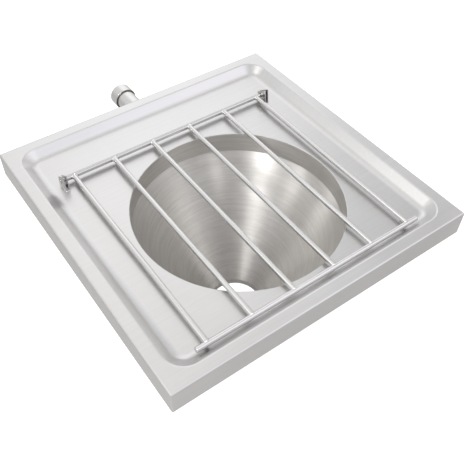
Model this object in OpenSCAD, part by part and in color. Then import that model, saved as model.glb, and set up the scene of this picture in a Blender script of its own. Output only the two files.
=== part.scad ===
// Stainless steel slop hopper: a square drain deck with a flushed funnel and a hinged bar grate.
// Millimetres. +Z is up. The origin is the middle of the outlet's open lower end, and the front
// of the deck faces -Y.

/* [Deck] */
// Width of the deck, left to right
deck_w = 500; // [490:1:540]
// Depth of the deck, front to back
deck_d = 500; // [490:1:540]
// Height of the top of the deck above the open end of the outlet
deck_top = 264; // [256:1:290]
// How far the middle of the deck lies behind the middle of the funnel
deck_back = 38; // [34:1:42]
// Thickness of the sheet in the deck, collar and funnel
sheet_t = 1.5; // [1.2:0.1:1.6]
// Height of the skirt round the deck
skirt_h = 40; // [38:1:60]
// Outside radius of the bend where the deck turns down into the skirt
bend_r = 3; // [2.5:0.5:5]
// Outside radius of the upright corners of the skirt
corner_r = 2.5; // [2:0.5:5]
// Width of the flange turned in under the skirt
return_w = 14; // [8:1:16]

/* [Recess] */
// Width of the flat rim round the recess
rim_w = 17.5; // [15:0.5:22]
// Depth of the recess floor below the rim
recess_depth = 13; // [12:0.5:14]
// Corner radius of the recess where it leaves the rim
recess_r = 33; // [30:1:40]
// Radius of the wide bend at the foot of the recess wall, on the upper surface
floor_bend_r = 18; // [16:1:20]
// Radius of the tight bend at the top of the recess wall, on the upper surface
rim_bend_r = 5; // [4:0.5:6]

/* [Funnel] */
// Radius of the round opening in the recess floor
opening_r = 159.5; // [156:0.5:162]
// Radius that softens the top edge of the round opening
opening_edge = 1.2; // [0.6:0.1:1.2]
// Depth below the rim of the lower edge of the upright collar
collar_drop = 48.5; // [44:0.5:54]
// Width of the ring gap that water flushes through, between collar and funnel
flush_gap = 1.5; // [1:0.1:3]
// Width of the flat flange at the top of the funnel
funnel_flange = 12; // [8:1:16]
// Outside radius of the outlet spigot
outlet_r = 45; // [43:0.5:50]
// Length of the outlet spigot
outlet_len = 10; // [8:1:24]

/* [Water inlet] */
// Depth below the rim of the middle of the inlet pipe
pipe_drop = 33.5; // [33.5:0.1:34]
// Outside radius of the inlet pipe
pipe_r = 16.85; // [16:0.05:16.9]
// Thickness of the inlet pipe's wall
pipe_t = 2.6; // [2:0.1:3]
// How far the near face of the threaded socket stands behind the deck
socket_reach = 52; // [40:1:80]
// Length of the socket
socket_len = 21; // [20:1:28]
// Outside radius of the socket
socket_r = 19.5; // [19:0.1:20.5]
// Radius of the thread inside the socket, drawn plain at its widest
thread_r = 16.6; // [16.4:0.05:16.7]
// How far the pipe runs into the socket
socket_seat = 4; // [3:0.5:5]
// Radius that rounds the far edge of the socket
socket_edge = 2; // [1:0.1:2]

/* [Grate] */
// Radius of every round bar in the grate
bar_r = 4; // [3.5:0.1:4]
// Depth below the rim of the middle of the bars
bar_drop = 4.5; // [4:0.1:5]
// Distance from one long bar to the next
bar_pitch = 69; // [66:0.5:69]
// Distance from the middle of the front bar to the middle of the hinge bar
grate_d = 359; // [356:0.5:360]
// Distance from the middle of the funnel back to the middle of the hinge bar
hinge_y = 183.5; // [182:0.5:185]
// Length of the front bar
front_len = 380; // [366:1:382]
// How far the middle of the grate lies to the right of the funnel's axis
grate_x = -2; // [-3:0.5:0]
// Height of the small bevel on the bar ends
bar_bevel = 0.8; // [0.4:0.1:1.2]

/* [Hinge] */
// Distance from the funnel's axis to the middle of the left bracket
left_bracket_x = 193; // [191:0.5:195]
// Distance from the funnel's axis to the middle of the right bracket
right_bracket_x = 182.5; // [182:0.5:192]
// Thickness of each ear of a bracket
ear_t = 1.5; // [1.2:0.1:2]
// Clear space between the two ears of a bracket
ear_gap = 3.5; // [3:0.5:5]
// Depth of an ear in front of the hinge line, at its foot
ear_front = 16.5; // [14:0.5:18]
// Depth of an ear behind the hinge line
ear_back = 6.5; // [6:0.5:8]
// Height of the front edge of an ear above the recess floor
ear_h = 26; // [24:0.5:28]
// Height of the back edge of an ear above the recess floor
ear_low = 13; // [12:0.5:14]
// How far the front edge of an ear leans back on its way up
ear_lean = 3; // [0:0.5:4]
// Radius of the turned-down ends of the hinge bar
journal_r = 3; // [2.5:0.1:3.2]
// Running clearance of the journals, on the radius
run_gap = 0.05; // [0.02:0.01:0.08]
// Length of journal that shows past the outer ear
journal_out = 1.5; // [1:0.5:3]
// Space between the shoulder of the hinge bar and the inner ear
shoulder_gap = 0.5; // [0.3:0.1:1]

/* [Front feet] */
// Distance of the feet in front of the middle of the funnel
foot_y = 165.5; // [164.5:0.5:166]
// Radius of the stud under the bar
stud_r = 1.75; // [1.5:0.05:2]
// Radius of the rubber buffer
buffer_r = 3.5; // [3:0.1:4]
// Height of the rubber buffer
buffer_h = 3.5; // [3:0.1:4]
// Thickness of rubber left under the stud
buffer_floor = 1; // [0.8:0.1:1.4]

/* [Output] */
// Which piece to draw

/* [Hidden] */
$fn = 96;

// Small overlap that lets a cut break cleanly through a face
eps = 1;
bar_count = 6;
// Space round the pipe in its slot through the back skirt
slot_gap = 1.2;
// Small bevel round the near edge of the socket
socket_bevel = 0.5;
buffer_bevel = 0.5;
// The run between the two bends leans as a 3-4-5 triangle: this far out and this far up
lean = [0.8, 0.6];
recess_w = deck_w - 2 * rim_w;
recess_d = deck_d - 2 * rim_w;
bends_r = floor_bend_r + rim_bend_r;
run_h = recess_depth - bends_r * (1 - lean[0]);
slope_w = bends_r * lean[1] + run_h * lean[0] / lean[1];
floor_r = recess_r - slope_w;
corner_x = recess_w / 2 - recess_r;
corner_y = recess_d / 2 - recess_r;
floor_top = deck_top - recess_depth;
floor_under = floor_top - sheet_t;

collar_out = opening_r + sheet_t;
collar_low = deck_top - collar_drop;
throat_r = collar_out + flush_gap;
outlet_bore = outlet_r - sheet_t;
// Widening of the funnel for each millimetre of height
flare = (throat_r - outlet_bore) / (collar_low - outlet_len);
// Level thickness of the sloping funnel wall
wall_w = sheet_t * sqrt(1 + flare * flare);
flange_low = floor_under - sheet_t;
funnel_top_r = outlet_bore + flare * (flange_low - outlet_len);

pipe_z = deck_top - pipe_drop;
pipe_bore = pipe_r - pipe_t;
socket_y = deck_back + deck_d / 2 + socket_reach;
slot_r = pipe_r + slot_gap;

bar_z = deck_top - bar_drop;
front_y = hinge_y - grate_d;
bracket_w = 2 * ear_t + ear_gap;
ear_d = ear_front + ear_back;
pivot_h = bar_z - floor_top;

steel = [0.80, 0.80, 0.79];
bright = [0.86, 0.86, 0.86];
dark_steel = [0.66, 0.65, 0.63];
rubber = [0.42, 0.42, 0.41];

// Flat shapes

module quarter(r) {
    intersection() {
        circle(r = r);
        square(r);
    }
}

module rounded_rect(w, d, r) {
    square([w - 2 * r, d], center = true);
    square([w, d - 2 * r], center = true);
    for (sx = [0, 1]) {
        for (sy = [0, 1]) {
            mirror([sx, 0])
                mirror([0, sy])
                translate([w / 2 - r, d / 2 - r])
                quarter(r);
        }
    }
}

// A cross-section with its two top corners rounded, hanging below the x axis
module hung_section(w, h, r) {
    translate([-w / 2, -h])
        square([w, h - r]);
    translate([r - w / 2, -r])
        square([w - 2 * r, r]);
    for (side = [0, 1]) {
        mirror([side, 0])
            translate([w / 2 - r, -r])
            quarter(r);
    }
}

// A curved strip of sheet between two radii, from one direction to another
module bent_strip(r_in, r_out, first, last) {
    reach = 2 * r_out;
    difference() {
        intersection() {
            circle(r = r_out);
            polygon([[0, 0], reach * first, reach * last]);
        }
        circle(r = r_in);
    }
}

// Cross-section of the recess wall: x is 0 at the centre of the corner, y is 0 at the rim
module recess_wall_section() {
    low = [floor_r, floor_bend_r - recess_depth];
    high = [recess_r, -rim_bend_r];
    out = [lean[1], -lean[0]];
    translate(low)
        bent_strip(floor_bend_r, floor_bend_r + sheet_t, [0, -1], out);
    translate(high)
        bent_strip(rim_bend_r - sheet_t, rim_bend_r, [0, 1], -out);
    polygon([
        low + floor_bend_r * out,
        high - rim_bend_r * out,
        high - (rim_bend_r - sheet_t) * out,
        low + (floor_bend_r + sheet_t) * out
    ]);
}

// Deck

module folded_block(w, d, h, r, c) {
    intersection() {
        rotate([90, 0, 0])
            linear_extrude(d, center = true)
            hung_section(w, h, r);
        rotate([90, 0, 90])
            linear_extrude(w, center = true)
            hung_section(d, h, r);
        translate([0, 0, -h])
            linear_extrude(h)
            rounded_rect(w, d, c);
    }
}

module rim_and_skirt() {
    difference() {
        folded_block(deck_w, deck_d, skirt_h, bend_r, corner_r);
        translate([0, 0, -sheet_t])
            folded_block(
                deck_w - 2 * sheet_t,
                deck_d - 2 * sheet_t,
                skirt_h - 2 * sheet_t,
                bend_r - sheet_t,
                corner_r - sheet_t
            );
        translate([0, 0, -skirt_h - eps])
            linear_extrude(sheet_t + 2 * eps)
            rounded_rect(deck_w - 2 * return_w, deck_d - 2 * return_w, corner_r);
        translate([0, 0, -sheet_t - eps])
            linear_extrude(sheet_t + 2 * eps)
            rounded_rect(recess_w, recess_d, recess_r);
    }
}

module recess_walls() {
    for (side = [0, 1]) {
        mirror([side, 0, 0])
            translate([corner_x, 0, 0])
            rotate([90, 0, 0])
            linear_extrude(2 * corner_y, center = true)
            recess_wall_section();
        mirror([0, side, 0])
            translate([0, corner_y, 0])
            rotate([90, 0, 90])
            linear_extrude(2 * corner_x, center = true)
            recess_wall_section();
    }
    for (sx = [0, 1]) {
        for (sy = [0, 1]) {
            mirror([sx, 0, 0])
                mirror([0, sy, 0])
                translate([corner_x, corner_y, 0])
                rotate_extrude(angle = 90)
                recess_wall_section();
        }
    }
}

// What is cut away for the opening: a round hole whose top edge is softened
module opening_cut() {
    edge_x = opening_r + opening_edge;
    rotate_extrude()
        difference() {
            union() {
                translate([0, -sheet_t - eps])
                    square([opening_r, sheet_t + eps]);
                translate([0, -opening_edge])
                    square([edge_x, opening_edge + eps]);
            }
            translate([edge_x, -opening_edge])
                circle(r = opening_edge);
        }
}

module recess_floor() {
    difference() {
        translate([0, 0, -recess_depth - sheet_t])
            linear_extrude(sheet_t)
            rounded_rect(2 * (corner_x + floor_r), 2 * (corner_y + floor_r), floor_r);
        translate([0, -deck_back, -recess_depth])
            opening_cut();
    }
}

module pipe_slot() {
    translate([0, deck_d / 2 - return_w - eps, -pipe_drop])
        rotate([-90, 0, 0])
        cylinder(r = slot_r, h = return_w + 2 * eps);
    translate([-slot_r, deck_d / 2 - return_w - eps, -skirt_h - eps])
        cube([2 * slot_r, return_w + 2 * eps, skirt_h + eps - pipe_drop]);
}

module deck() {
    color(steel)
        translate([0, deck_back, deck_top])
        difference() {
            union() {
                rim_and_skirt();
                recess_walls();
                recess_floor();
            }
            pipe_slot();
        }
}

// Funnel and flushing rim

module flushing_collar() {
    edge = sheet_t / 2;
    color(dark_steel)
        rotate_extrude()
        union() {
            translate([opening_r, collar_low + edge])
                square([sheet_t, floor_under - collar_low - edge]);
            translate([opening_r + edge, collar_low + edge])
                mirror([0, 1])
                intersection() {
                    circle(r = edge);
                    translate([-edge, 0])
                        square([sheet_t, edge]);
                }
        }
}

module funnel_inside() {
    rotate_extrude()
        polygon([
            [0, outlet_len],
            [outlet_bore, outlet_len],
            [funnel_top_r, flange_low],
            [0, flange_low]
        ]);
}

module funnel() {
    color(dark_steel)
        difference() {
            rotate_extrude()
                polygon([
                    [outlet_bore, outlet_len],
                    [outlet_bore + wall_w, outlet_len],
                    [funnel_top_r + wall_w, flange_low],
                    [funnel_top_r + funnel_flange, flange_low],
                    [funnel_top_r + funnel_flange, floor_under],
                    [funnel_top_r, floor_under],
                    [funnel_top_r, flange_low]
                ]);
            translate([0, opening_r / 2, pipe_z])
                rotate([-90, 0, 0])
                cylinder(r = pipe_r, h = opening_r);
        }
}

module outlet_spigot() {
    color(steel)
        difference() {
            cylinder(r = outlet_r, h = outlet_len);
            translate([0, 0, -eps])
                cylinder(r = outlet_bore, h = outlet_len + 2 * eps);
        }
}

// Water inlet

module inlet_pipe() {
    start = opening_r / 2;
    run = socket_y + socket_seat - start;
    color(steel)
        difference() {
            translate([0, start, pipe_z])
                rotate([-90, 0, 0])
                cylinder(r = pipe_r, h = run);
            translate([0, start - eps, pipe_z])
                rotate([-90, 0, 0])
                cylinder(r = pipe_bore, h = run + 2 * eps);
            funnel_inside();
        }
}

// Round, with an inside thread drawn plain. The pipe stands in a seat at its near end.
module inlet_socket() {
    color(steel)
        translate([0, socket_y, pipe_z])
        rotate([-90, 0, 0])
        rotate_extrude()
        difference() {
            union() {
                polygon([
                    [0, 0],
                    [socket_r - socket_bevel, 0],
                    [socket_r, socket_bevel],
                    [socket_r, socket_len - socket_edge],
                    [0, socket_len - socket_edge]
                ]);
                translate([0, socket_len - socket_edge])
                    square([socket_r - socket_edge, socket_edge]);
                translate([socket_r - socket_edge, socket_len - socket_edge])
                    quarter(socket_edge);
            }
            translate([0, -eps])
                square([pipe_r, socket_seat + eps]);
            translate([0, -eps])
                square([thread_r, socket_len + 2 * eps]);
        }
}

// Hinge

// The side view of an ear: tall in front, with a top that falls away towards the back
module ear_outline() {
    polygon([
        [-ear_front, 0],
        [ear_back, 0],
        [ear_back, ear_low],
        [ear_lean - ear_front, ear_h]
    ]);
}

module hinge_bracket(x) {
    color(bright)
        translate([x - bracket_w / 2, hinge_y, floor_top])
        difference() {
            rotate([90, 0, 90])
                linear_extrude(bracket_w)
                ear_outline();
            translate([ear_t, -ear_front - eps, ear_t])
                cube([ear_gap, ear_d + 2 * eps, ear_h]);
            translate([-eps, 0, pivot_h])
                rotate([0, 90, 0])
                cylinder(r = journal_r + run_gap, h = bracket_w + 2 * eps);
        }
}

module hinge_bracket_left() {
    hinge_bracket(-left_bracket_x);
}

module hinge_bracket_right() {
    hinge_bracket(right_bracket_x);
}

// Grate

// A round bar from 0 to its length along z, with a small bevel at each end
module bevelled_bar(r, length) {
    rotate_extrude()
        polygon([
            [0, 0],
            [r - bar_bevel, 0],
            [r, bar_bevel],
            [r, length - bar_bevel],
            [r - bar_bevel, length],
            [0, length]
        ]);
}

module hinge_bar() {
    between = left_bracket_x + right_bracket_x;
    inset = bracket_w / 2 + shoulder_gap;
    outset = bracket_w / 2 + journal_out;
    color(bright)
        translate([-left_bracket_x, hinge_y, bar_z])
        rotate([0, 90, 0])
        union() {
            translate([0, 0, inset])
                bevelled_bar(bar_r, between - 2 * inset);
            translate([0, 0, -outset])
                bevelled_bar(journal_r, between + 2 * outset);
        }
}

module front_bar() {
    color(bright)
        translate([grate_x - front_len / 2, front_y, bar_z])
        rotate([0, 90, 0])
        bevelled_bar(bar_r, front_len);
}

// The ends are hollowed to sit against the round front bar and hinge bar
module long_bar(number) {
    x = grate_x + (number - (bar_count + 1) / 2) * bar_pitch;
    color(bright)
        translate([x, 0, bar_z])
        difference() {
            translate([0, front_y, 0])
                rotate([-90, 0, 0])
                cylinder(r = bar_r, h = grate_d);
            for (y = [front_y, hinge_y]) {
                translate([-bar_r - eps, y, 0])
                    rotate([0, 90, 0])
                    cylinder(r = bar_r, h = 2 * (bar_r + eps));
            }
        }
}

module long_bar_1() {
    long_bar(1);
}

module long_bar_2() {
    long_bar(2);
}

module long_bar_3() {
    long_bar(3);
}

module long_bar_4() {
    long_bar(4);
}

module long_bar_5() {
    long_bar(5);
}

module long_bar_6() {
    long_bar(6);
}

// Front feet

module foot_stud(side) {
    x = grate_x + side * (bar_count - 1) / 2 * bar_pitch;
    low = floor_top + buffer_floor;
    color(bright)
        difference() {
            translate([x, -foot_y, low])
                cylinder(r = stud_r, h = bar_z - low);
            translate([x, -foot_y - buffer_r, bar_z])
                rotate([-90, 0, 0])
                cylinder(r = bar_r, h = 2 * buffer_r);
        }
}

module foot_stud_left() {
    foot_stud(-1);
}

module foot_stud_right() {
    foot_stud(1);
}

module buffer(side) {
    x = grate_x + side * (bar_count - 1) / 2 * bar_pitch;
    color(rubber)
        translate([x, -foot_y, floor_top])
        rotate_extrude()
        polygon([
            [0, 0],
            [buffer_r - buffer_bevel, 0],
            [buffer_r, buffer_bevel],
            [buffer_r, buffer_h - buffer_bevel],
            [buffer_r - buffer_bevel, buffer_h],
            [stud_r, buffer_h],
            [stud_r, buffer_floor],
            [0, buffer_floor]
        ]);
}

module buffer_left() {
    buffer(-1);
}

module buffer_right() {
    buffer(1);
}

deck();
flushing_collar();
funnel();
outlet_spigot();
inlet_pipe();
inlet_socket();
hinge_bracket_left();
hinge_bracket_right();
hinge_bar();
front_bar();
long_bar_1();
long_bar_2();
long_bar_3();
long_bar_4();
long_bar_5();
long_bar_6();
foot_stud_left();
foot_stud_right();
buffer_left();
buffer_right();
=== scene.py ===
"""Looks for a stainless steel slop hopper: satin deck, ring-brushed funnel and a hinged bar grate.
Lengths are in metres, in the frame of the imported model."""
import math

import bpy
from mathutils import Matrix, Vector, noise


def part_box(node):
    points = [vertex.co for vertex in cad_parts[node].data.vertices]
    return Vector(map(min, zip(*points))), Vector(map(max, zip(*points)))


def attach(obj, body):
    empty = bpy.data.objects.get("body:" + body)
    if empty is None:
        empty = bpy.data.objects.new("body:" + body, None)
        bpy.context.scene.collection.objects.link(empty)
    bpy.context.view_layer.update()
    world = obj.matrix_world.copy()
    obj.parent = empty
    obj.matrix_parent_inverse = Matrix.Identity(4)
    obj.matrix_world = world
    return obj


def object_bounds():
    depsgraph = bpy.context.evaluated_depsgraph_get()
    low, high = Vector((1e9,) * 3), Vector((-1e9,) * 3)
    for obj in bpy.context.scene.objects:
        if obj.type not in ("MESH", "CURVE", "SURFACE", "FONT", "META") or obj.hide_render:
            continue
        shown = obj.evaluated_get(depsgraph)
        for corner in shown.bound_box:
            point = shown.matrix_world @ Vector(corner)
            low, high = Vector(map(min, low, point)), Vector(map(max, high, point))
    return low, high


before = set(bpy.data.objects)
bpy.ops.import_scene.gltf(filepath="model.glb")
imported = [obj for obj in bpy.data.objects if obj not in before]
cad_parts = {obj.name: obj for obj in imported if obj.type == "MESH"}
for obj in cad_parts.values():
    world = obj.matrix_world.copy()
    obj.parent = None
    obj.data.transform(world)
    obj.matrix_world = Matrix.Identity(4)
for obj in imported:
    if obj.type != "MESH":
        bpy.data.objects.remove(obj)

MM = 0.001
TURN = 2 * math.pi
cad_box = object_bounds()
scene = bpy.context.scene


# Node trees


class Graph:
    """Short calls for building a node tree."""

    def __init__(self, tree):
        self.tree = tree
        tree.nodes.clear()

    def add(self, kind, inputs=None, **settings):
        node = self.tree.nodes.new(kind)
        for name, value in settings.items():
            setattr(node, name, value)
        for name, value in (inputs or {}).items():
            self.feed(node.inputs[name], value)
        return node

    def feed(self, socket, value):
        if isinstance(value, bpy.types.NodeSocket):
            self.tree.links.new(value, socket)
        else:
            socket.default_value = value

    def math(self, operation, first, second=0.0):
        node = self.add("ShaderNodeMath", {0: first, 1: second}, operation=operation)
        return node.outputs[0]

    def vector(self, operation, first, second=(0, 0, 0)):
        node = self.add("ShaderNodeVectorMath", {0: first, 1: second}, operation=operation)
        return node.outputs["Value" if operation == "DOT_PRODUCT" else "Vector"]

    def scaled(self, vector, factor):
        node = self.add("ShaderNodeVectorMath", {0: vector, "Scale": factor}, operation="SCALE")
        return node.outputs[0]

    def fit(self, value, low, high, out_low, out_high, kind="LINEAR"):
        node = self.add(
            "ShaderNodeMapRange",
            {"Value": value, 1: low, 2: high, 3: out_low, 4: out_high},
            interpolation_type=kind,
        )
        return node.outputs[0]

    def mix(self, share, first, second):
        node = self.add("ShaderNodeMix", {0: share}, data_type="RGBA")
        self.feed(node.inputs[6], first)
        self.feed(node.inputs[7], second)
        return node.outputs[2]

    def noise(self, vector, scale, detail=2.0, roughness=0.5):
        node = self.add(
            "ShaderNodeTexNoise",
            {"Vector": vector, "Scale": scale, "Detail": detail, "Roughness": roughness},
        )
        return node.outputs["Fac"]


# Materials


def grain_space(graph, place, way):
    """Coordinates that stretch a noise along the marks left by brushing."""
    parts = graph.add("ShaderNodeSeparateXYZ", {0: place})
    x, y, z = parts.outputs
    if way == "rings":
        angle = graph.math("ARCTAN2", y, x)
        east, north, up = graph.math("COSINE", angle), graph.math("SINE", angle), z
        squeeze = (0.35, 0.35, 60)
    elif way == "pipe":
        height = graph.math("SUBTRACT", z, PIPE_Z)
        angle = graph.math("ARCTAN2", height, x)
        east, north, up = graph.math("COSINE", angle), graph.math("SINE", angle), y
        squeeze = (0.35, 0.35, 60)
    else:
        east, north, up = x, y, z
        squeeze = {"x": (1.2, 60, 60), "y": (60, 1.2, 60)}[way]
    joined = graph.add("ShaderNodeCombineXYZ", {0: east, 1: north, 2: up}).outputs[0]
    return graph.vector("MULTIPLY", joined, squeeze)


def steel(name, colour, roughness, way, lines=0.5, depth=0.02, anisotropy=0.0, tangent=None,
          cloud=0.06, edge=0.35, contrast=1.0):
    """Stainless steel with brushed grain, soft clouding, and edges lightened in colour both as wear and as a
    painted highlight.
    lines is how strongly the grain shows, depth its height in millimetres."""
    material = bpy.data.materials.new(name)
    material.use_nodes = True
    graph = Graph(material.node_tree)
    place = graph.add("ShaderNodeTexCoord").outputs["Object"]
    space = grain_space(graph, place, way)
    fine = graph.noise(space, 28.0, 3.0, 0.6)
    coarse = graph.noise(space, 5.0, 2.0, 0.5)
    clouds = graph.noise(place, 7.0, 3.0, 0.55)
    grain = graph.math("ADD", graph.math("MULTIPLY", fine, 0.5), graph.math("MULTIPLY", coarse, 0.5))

    rounded = graph.add("ShaderNodeBevel", {"Radius": edge * MM}, samples=4).outputs[0]
    flat = graph.add("ShaderNodeNewGeometry").outputs["Normal"]
    # mask of the edges: they get a lighter colour (wear and a painted highlight) and a lower roughness
    edge_wear_and_highlight = graph.fit(graph.vector("DOT_PRODUCT", rounded, flat), 0.80, 0.995, 1.0, 0.0)

    pale = [min(1.0, c * (1 + 0.06 * contrast)) for c in colour] + [1.0]
    deep = [c * (1 - 0.07 * contrast) for c in colour] + [1.0]
    # a lighter colour for the edges, standing for wear and painted as a highlight
    worn_and_highlit = [min(1.0, c * 1.12) for c in colour] + [1.0]
    shade = graph.math("ADD", graph.math("MULTIPLY", grain, lines), graph.math("MULTIPLY", clouds, 1 - lines))
    base = graph.mix(graph.fit(shade, 0.3, 0.7, 0.0, 1.0), deep, pale)
    # edges take the lighter colour: wear, and a painted highlight along them
    base = graph.mix(graph.math("MULTIPLY", edge_wear_and_highlight, 0.5), base, worn_and_highlit)

    rough = graph.fit(clouds, 0.3, 0.7, roughness * (1 - cloud), roughness * (1 + cloud))
    rough = graph.math("ADD", rough, graph.fit(grain, 0.3, 0.7, -0.03 * lines, 0.03 * lines))
    rough = graph.math("SUBTRACT", rough, graph.math("MULTIPLY", edge_wear_and_highlight, 0.3 * roughness))

    bump = graph.add(
        "ShaderNodeBump",
        {"Strength": 1.0, "Distance": depth * MM, "Height": grain, "Normal": rounded},
    )
    inputs = {
        "Base Color": base,
        "Metallic": 1.0,
        "Roughness": rough,
        "Anisotropic": anisotropy,
        "Normal": bump.outputs[0],
    }
    shader = graph.add("ShaderNodeBsdfPrincipled", inputs)
    if tangent:
        axis = graph.add("ShaderNodeCombineXYZ", {0: tangent[0], 1: tangent[1], 2: tangent[2]})
        graph.feed(shader.inputs["Tangent"], axis.outputs[0])
    out = graph.add("ShaderNodeOutputMaterial")
    graph.feed(out.inputs["Surface"], shader.outputs[0])
    return material


def rubber(name):
    """Matt grey rubber with a fine moulded texture."""
    material = bpy.data.materials.new(name)
    material.use_nodes = True
    graph = Graph(material.node_tree)
    place = graph.add("ShaderNodeTexCoord").outputs["Object"]
    speckle = graph.noise(place, 1800.0, 2.0, 0.6)
    dust = graph.noise(place, 160.0, 3.0, 0.6)
    base = graph.mix(graph.fit(dust, 0.35, 0.75, 0.0, 1.0), (0.27, 0.27, 0.265, 1), (0.36, 0.355, 0.345, 1))
    rough = graph.fit(speckle, 0.3, 0.7, 0.62, 0.82)
    bump = graph.add("ShaderNodeBump", {"Strength": 0.5, "Distance": 0.05 * MM, "Height": speckle})
    shader = graph.add(
        "ShaderNodeBsdfPrincipled",
        {"Base Color": base, "Roughness": rough, "Normal": bump.outputs[0]},
    )
    out = graph.add("ShaderNodeOutputMaterial")
    graph.feed(out.inputs["Surface"], shader.outputs[0])
    return material


def finish_with(material, *names):
    for name in names:
        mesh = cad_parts[name].data
        mesh.materials.clear()
        mesh.materials.append(material)


# Sizes read from the imported parts


def middle(node):
    low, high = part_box(node)
    return (low + high) / 2


LONG_BARS = sorted(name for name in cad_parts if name.startswith("long_bar_"))
BAR_LOW, BAR_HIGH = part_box("front_bar")
BAR_R = (BAR_HIGH.z - BAR_LOW.z) / 2
BAR_Z = middle("front_bar").z
FRONT_Y = middle("front_bar").y
HINGE_Y = middle("hinge_bar").y
PIPE_Z = middle("inlet_pipe").z
PIPE_R = (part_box("inlet_pipe")[1].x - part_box("inlet_pipe")[0].x) / 2
SHEET = 1.5 * MM
FLUSHING_GAP = 1.5 * MM
CONE_WALL = 1.8 * MM
COLLAR_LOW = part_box("flushing_collar")[0].z
THROAT_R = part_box("flushing_collar")[1].x + FLUSHING_GAP
SPIGOT_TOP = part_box("outlet_spigot")[1].z
SPIGOT_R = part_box("outlet_spigot")[1].x
SPIGOT_BORE = SPIGOT_R - SHEET
FLANGE_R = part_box("funnel")[1].x
FLANGE_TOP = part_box("funnel")[1].z


def cone_radius(z):
    """Inside radius of the funnel at a height."""
    return SPIGOT_BORE + (THROAT_R - SPIGOT_BORE) * (z - SPIGOT_TOP) / (COLLAR_LOW - SPIGOT_TOP)


# Steels, each a red, green and blue share of light thrown back

DECK_STEEL = (0.66, 0.655, 0.65)
FUNNEL_STEEL = (0.60, 0.585, 0.565)
BAR_STEEL = (0.68, 0.675, 0.67)
# the bars' steel made darker for the hinge bar and brackets: painted shade
SHADED_HINGE_STEEL = (0.56, 0.555, 0.55)
# dark weld colour: heat tint, and painted shade in the ring round the pipe
HEAT_TINT_AND_SHADE = (0.17, 0.15, 0.135)

satin = steel("satin_sheet", DECK_STEEL, 0.35, "x", lines=0.5, depth=0.005, contrast=1.1)
spun = steel("ring_brushed", FUNNEL_STEEL, 0.42, "rings", lines=0.9, depth=0.03, contrast=2.2,
             anisotropy=0.85, tangent=(0, 0, 1))
drawn_x = steel("drawn_bar_x", BAR_STEEL, 0.27, "x", lines=0.6, depth=0.005)
drawn_y = steel("drawn_bar_y", BAR_STEEL, 0.27, "y", lines=0.6, depth=0.005)
shaded_hinge = steel("shaded_hinge_bar", SHADED_HINGE_STEEL, 0.24, "x", lines=0.6, depth=0.006, cloud=0.12)
turned = steel("turned_pipe", BAR_STEEL, 0.30, "pipe", lines=0.7, depth=0.01)
weld = steel("weld_bead", BAR_STEEL, 0.34, "x", lines=0.2, depth=0.02, cloud=0.15)
tinted_and_shaded = steel("tinted_and_shaded_weld", HEAT_TINT_AND_SHADE, 0.45, "x", lines=0.2, depth=0.02, cloud=0.15)
grey = rubber("grey_rubber")

finish_with(satin, "deck")
finish_with(spun, "flushing_collar", "funnel", "outlet_spigot")
finish_with(drawn_x, "front_bar")
# hinge bar and brackets take the darker steel, which paints their shade into the colour
finish_with(shaded_hinge, "hinge_bar", "hinge_bracket_left", "hinge_bracket_right")
finish_with(drawn_y, *LONG_BARS, "foot_stud_left", "foot_stud_right")
finish_with(turned, "inlet_pipe", "inlet_socket")
finish_with(grey, "buffer_left", "buffer_right")


# Pieces built in mesh: weld beads and the socket's thread


def mesh_object(name, verts, faces, smooth=False):
    mesh = bpy.data.meshes.new(name)
    mesh.from_pydata(verts, [], faces)
    mesh.validate()
    mesh.polygons.foreach_set("use_smooth", [smooth] * len(mesh.polygons))
    made = bpy.data.objects.new(name, mesh)
    scene.collection.objects.link(made)
    return made


def ride(piece, material, body):
    piece.data.materials.append(material)
    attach(piece, body)


def closed_tube(verts, faces, path, radius, sides=10):
    """Add a closed ring of tube along a loop of points. radius is a function of the step."""
    count = len(path)
    start = len(verts)
    middle_point = sum(path, Vector()) / count
    lead = None
    for step, point in enumerate(path):
        ahead = (path[(step + 1) % count] - path[step - 1]).normalized()
        out = point - middle_point
        out = (out - ahead * out.dot(ahead)).normalized()
        side = ahead.cross(out)
        for turn in range(sides):
            a = TURN * turn / sides
            verts.append(point + (out * math.cos(a) + side * math.sin(a)) * radius(step))
    for step in range(count):
        near = start + step * sides
        far = start + (step + 1) % count * sides
        for turn in range(sides):
            after = (turn + 1) % sides
            faces.append((near + turn, near + after, far + after, far + turn))


def ripple(size, waves, count, seed):
    """The radius of a weld bead: overlapping scales, a little uneven."""
    def radius(step):
        share = step / count
        scale = 0.5 + 0.5 * math.cos(TURN * waves * share)
        wobble = noise.noise(Vector((math.cos(TURN * share) * 2, math.sin(TURN * share) * 2, seed)))
        return size * (1 + 0.14 * scale + 0.16 * wobble)
    return radius


def cope_loop(x, y, way, r, count=72):
    """Where a bar's hollowed end meets the round bar across it. way is 1 if the bar lies to +Y."""
    soft = 0.12 * r
    loop = []
    for step in range(count):
        a = TURN * step / count
        reach = math.sqrt((r * math.sin(a)) ** 2 + soft ** 2)
        loop.append(Vector((x + r * math.sin(a), y + way * reach, BAR_Z + r * math.cos(a))))
    return loop


def joint_welds(name, y, way, seed, size=0.95 * MM, waves=13):
    """The beads that join the long bars to one cross bar."""
    verts, faces = [], []
    for number, bar in enumerate(LONG_BARS):
        loop = cope_loop(middle(bar).x, y, way, BAR_R)
        closed_tube(verts, faces, loop, ripple(size, waves, len(loop), seed + number))
    ride(mesh_object(name, verts, faces, True), weld, "grate")


def ring_loop(centre, r, count):
    """Points round a level circle."""
    loop = []
    for step in range(count):
        a = TURN * step / count
        loop.append(centre + Vector((r * math.cos(a), r * math.sin(a), 0)))
    return loop


def ring_weld(name, centre, r, size, waves, body, seed):
    """A bead round a level circle."""
    verts, faces = [], []
    loop = ring_loop(Vector(centre), r, max(48, waves * 6))
    closed_tube(verts, faces, loop, ripple(size, waves, len(loop), seed))
    ride(mesh_object(name, verts, faces, True), weld, body)


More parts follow.
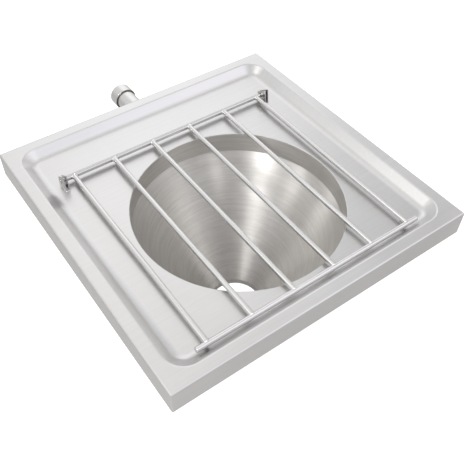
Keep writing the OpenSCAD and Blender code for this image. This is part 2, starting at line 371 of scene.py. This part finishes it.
def bracket_weld(name, node, seed, size=0.8 * MM, turn=1.0 * MM, gap=1.1 * MM, steps=12):
    """A bead round the foot of a hinge bracket, on the recess floor. turn is its corner radius."""
    low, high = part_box(node)
    loop = []
    corners = [(high.x, high.y, 0), (low.x, high.y, 1), (low.x, low.y, 2), (high.x, low.y, 3)]
    for x, y, quarter in corners:
        cx = x - math.copysign(turn, x - (low.x + high.x) / 2)
        cy = y - math.copysign(turn, y - (low.y + high.y) / 2)
        for step in range(steps + 1):
            a = TURN / 4 * (quarter + step / steps)
            loop.append(Vector((cx + turn * math.cos(a), cy + turn * math.sin(a), low.z)))
    loop = spread(loop, gap)
    verts, faces = [], []
    closed_tube(verts, faces, loop, ripple(size, round(len(loop) / 3), len(loop), seed))
    ride(mesh_object(name, verts, faces, True), weld, "basin")


def spread(loop, gap):
    """The same closed loop with extra points on its long straight runs."""
    out = []
    for here, there in zip(loop, loop[1:] + loop[:1]):
        parts = max(1, round((there - here).length / gap))
        out += [here.lerp(there, k / parts) for k in range(parts)]
    return out


def pipe_weld(name, seed, size=1.5 * MM, waves=40, count=120):
    """A bead where the water pipe enters the funnel from outside."""
    loop = []
    for step in range(count):
        a = TURN * step / count
        x, z = PIPE_R * math.sin(a), PIPE_Z + PIPE_R * math.cos(a)
        outside = cone_radius(z) + CONE_WALL
        loop.append(Vector((x, math.sqrt(outside ** 2 - x ** 2), z)))
    verts, faces = [], []
    closed_tube(verts, faces, loop, ripple(size, waves, count, seed))
    ride(mesh_object(name, verts, faces, True), weld, "basin")


def socket_weld(name, seed, size=1.05 * MM, waves=45, count=160):
    """A bead where the pipe enters the socket, dark as heat tint and as painted shade."""
    r = PIPE_R + 0.8 * size
    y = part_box("inlet_socket")[0].y - 0.2 * size
    loop = []
    for step in range(count):
        a = TURN * step / count
        loop.append(Vector((r * math.cos(a), y, PIPE_Z + r * math.sin(a))))
    verts, faces = [], []
    closed_tube(verts, faces, loop, ripple(size, waves, count, seed))
    # the bead takes the dark weld colour: heat tint and painted shade
    ride(mesh_object(name, verts, faces, True), tinted_and_shaded, "basin")


def socket_thread(name, pitch=2.309 * MM, turns=6, steps=64):
    """The thread inside the socket: a ridge wound round its bore.
    Its root lies just behind the bore's plain wall, and the ridge fades at both ends."""
    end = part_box("inlet_socket")[1].y - 0.6 * MM
    root = 16.7 * MM
    fade_steps = 20
    least_height = 0.02
    spacing = 0.8 * pitch
    # across the ridge: millimetres from the root, and share of the spacing along the axis
    section = [(0.0, -0.62), (-1.15, -0.14), (-1.25, 0.0), (-1.15, 0.14), (0.0, 0.62)]
    verts, faces = [], []
    total = turns * steps
    for step in range(total + 1):
        a = TURN * step / steps
        fade = min(1.0, step / fade_steps, (total - step) / fade_steps)
        along = end - 0.5 * pitch - pitch * step / steps
        for inward, shift in section:
            r = root + inward * MM * max(fade, least_height)
            y = along + shift * spacing
            verts.append((r * math.cos(a), y, PIPE_Z + r * math.sin(a)))
    width = len(section)
    for step in range(total):
        for k in range(width):
            here = step * width + k
            beside = step * width + (k + 1) % width
            faces.append((here, here + width, beside + width, beside))
    faces.append(tuple(range(width)))
    faces.append(tuple(total * width + k for k in reversed(range(width))))
    ride(mesh_object(name, verts, faces), turned, "basin")


joint_welds("front_joint_welds", FRONT_Y, 1, 10)
joint_welds("hinge_joint_welds", HINGE_Y, -1, 30)
bracket_weld("bracket_weld_left", "hinge_bracket_left", 50)
bracket_weld("bracket_weld_right", "hinge_bracket_right", 51)
ring_weld("spigot_weld", (0, 0, SPIGOT_TOP), SPIGOT_R + 0.2 * MM, 1.1 * MM, 90, "basin", 60)
ring_weld("flange_weld", (0, 0, FLANGE_TOP - 0.3 * MM), FLANGE_R, 1.2 * MM, 300, "basin", 61)
pipe_weld("pipe_weld", 62)
for side in ("left", "right"):
    stud = "foot_stud_" + side
    place = middle(stud)
    stud_r = (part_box(stud)[1].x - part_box(stud)[0].x) / 2
    ring_weld("foot_weld_" + side, (place.x, place.y, BAR_Z - BAR_R), stud_r, 0.5 * MM, 9, "grate", 70)
socket_weld("socket_weld", 63)
socket_thread("socket_thread")


# Studio: floor, world, lights and camera


def make_floor(half=4.0, drop=0.5 * MM, albedo=0.55, glow_strength=0.9):
    """A pale floor that glows for the camera alone, so that it shows white."""
    level = cad_box[0].z - drop
    corners = [(-half, -half, level), (half, -half, level), (half, half, level), (-half, half, level)]
    floor = mesh_object("floor", corners, [(0, 1, 2, 3)])
    material = bpy.data.materials.new("pale_floor")
    material.use_nodes = True
    graph = Graph(material.node_tree)
    matt = graph.add("ShaderNodeBsdfDiffuse", {"Color": (albedo, albedo * 0.99, albedo * 0.975, 1)})
    glow = graph.add("ShaderNodeEmission", {"Color": (1, 1, 1, 1), "Strength": glow_strength})
    both = graph.add("ShaderNodeAddShader", {0: matt.outputs[0], 1: glow.outputs[0]})
    seen = graph.add("ShaderNodeLightPath").outputs["Is Camera Ray"]
    chosen = graph.add("ShaderNodeMixShader", {0: seen, 1: matt.outputs[0], 2: both.outputs[0]})
    out = graph.add("ShaderNodeOutputMaterial")
    graph.feed(out.inputs["Surface"], chosen.outputs[0])
    floor.data.materials.append(material)


def direction(azimuth, elevation):
    """A unit vector: azimuth 0 is +X and 90 is +Y."""
    a, e = math.radians(azimuth), math.radians(elevation)
    return Vector((math.cos(a) * math.cos(e), math.sin(a) * math.cos(e), math.sin(e)))


SKY_LOW = (0.62, 0.61, 0.59, 1)
SKY_HIGH = (0.85, 0.85, 0.855, 1)
SKY_FROM, SKY_TO = -0.1, 0.5  # sines of the elevations between which the sky brightens
# Soft panels: azimuth, elevation, inner and outer angle in degrees, colour times strength.
# The one below zero takes light away, as a dark board would.
PANELS = [
    (58, 33, 3, 24, (0.55, 0.55, 0.58)),
    (76, 54, 3, 24, (0.34, 0.33, 0.31)),
    (32, 42, 3, 24, (-0.22, -0.22, -0.22)),
    (40, 0, 5, 34, (0.40, 0.40, 0.40)),
    (308, 50, 4, 30, (0.50, 0.52, 0.62)),
    (170, 46, 4, 28, (1.50, 1.50, 1.48)),
    (345, 50, 4, 30, (0.24, 0.20, 0.19)),
]


def make_world():
    """A soft studio: darker low down, even overhead, with a few broad panels."""
    world = bpy.data.worlds.new("studio")
    scene.world = world
    world.use_nodes = True
    graph = Graph(world.node_tree)
    way = graph.add("ShaderNodeTexCoord").outputs["Generated"]
    height = graph.add("ShaderNodeSeparateXYZ", {0: way}).outputs[2]
    colour = graph.mix(graph.fit(height, SKY_FROM, SKY_TO, 0.0, 1.0, "SMOOTHSTEP"), SKY_LOW, SKY_HIGH)
    for azimuth, elevation, inner, outer, tint in PANELS:
        facing = graph.vector("DOT_PRODUCT", way, tuple(direction(azimuth, elevation)))
        share = graph.fit(
            facing,
            math.cos(math.radians(outer)),
            math.cos(math.radians(inner)),
            0.0,
            1.0,
            "SMOOTHSTEP",
        )
        colour = graph.vector("ADD", colour, graph.scaled(tint, share))
    light = graph.add("ShaderNodeBackground", {"Color": colour, "Strength": 1.0})
    white = graph.add("ShaderNodeBackground", {"Color": (1, 1, 1, 1), "Strength": 1.0})
    seen = graph.add("ShaderNodeLightPath").outputs["Is Camera Ray"]
    chosen = graph.add("ShaderNodeMixShader", {0: seen, 1: light.outputs[0], 2: white.outputs[0]})
    out = graph.add("ShaderNodeOutputWorld")
    graph.feed(out.inputs["Surface"], chosen.outputs[0])


def softbox(name, place, size, power):
    """A square soft lamp that faces the middle of the funnel's mouth."""
    lamp = bpy.data.lights.new(name, "AREA")
    lamp.shape = "SQUARE"
    lamp.size = size
    lamp.energy = power
    holder = bpy.data.objects.new(name, lamp)
    holder.location = place
    aim = Vector((0, 0, COLLAR_LOW)) - holder.location
    holder.rotation_mode = "QUATERNION"
    holder.rotation_quaternion = aim.to_track_quat("-Z", "Y")
    scene.collection.objects.link(holder)
    return holder


def flag(lamp, state, *names):
    """Let a lamp light only some pieces, or all but them, as flags in front of it would."""
    group = bpy.data.collections.new("flag_of_" + lamp.name)
    for name in names:
        group.objects.link(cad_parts[name])
    lamp.light_linking.receiver_collection = group
    for member in group.collection_objects:
        member.light_linking.link_state = state


# A least-squares fit to the deck's outline gave these: degrees, millimetres of lens and metres
CAMERA_AZIMUTH, CAMERA_ELEVATION, CAMERA_ROLL = -36.764, 48.423, 1.386
CAMERA_LENS = 49.50
CAMERA_PLACE = (-0.400416, -0.522884, 0.928944)
FILM_WIDTH = 36.0


def make_camera():
    """The camera at the fitted place and angles."""
    angles = (CAMERA_AZIMUTH, CAMERA_ELEVATION, CAMERA_ROLL)
    azimuth, elevation, roll = (math.radians(v) for v in angles)
    back = Vector((
        math.sin(azimuth) * math.cos(elevation),
        -math.cos(azimuth) * math.cos(elevation),
        math.sin(elevation),
    ))
    level = Vector((math.cos(azimuth), math.sin(azimuth), 0))
    lift = back.cross(level)
    right = level * math.cos(roll) + lift * math.sin(roll)
    up = lift * math.cos(roll) - level * math.sin(roll)
    turn = Matrix((right, up, back)).transposed()
    lens = bpy.data.cameras.new("camera")
    lens.sensor_width = FILM_WIDTH
    lens.lens = CAMERA_LENS
    lens.clip_start = 0.02
    lens.clip_end = 50.0
    camera = bpy.data.objects.new("camera", lens)
    camera.matrix_world = Matrix.Translation(CAMERA_PLACE) @ turn.to_4x4()
    scene.collection.objects.link(camera)
    scene.camera = camera


BOWL = ("funnel", "flushing_collar")
BOWL_LAMP_SIZE = 0.20

make_floor()
make_world()
# Each lamp stands where the ring-brushed cone turns it into one streak
flag(softbox("key", (-0.70, -0.30, 1.07), 0.30, 6.0), "EXCLUDE", "deck")
flag(softbox("second", (-1.10, 0.27, 0.60), BOWL_LAMP_SIZE, 1.5), "INCLUDE", *BOWL)
flag(softbox("third", (-0.60, 0.96, 0.62), BOWL_LAMP_SIZE, 1.2), "INCLUDE", *BOWL)
flag(softbox("fourth", (-0.22, -1.10, 0.62), BOWL_LAMP_SIZE, 0.8), "INCLUDE", *BOWL)
make_camera()
scene.view_settings.view_transform = "Standard"
scene.view_settings.look = "None"
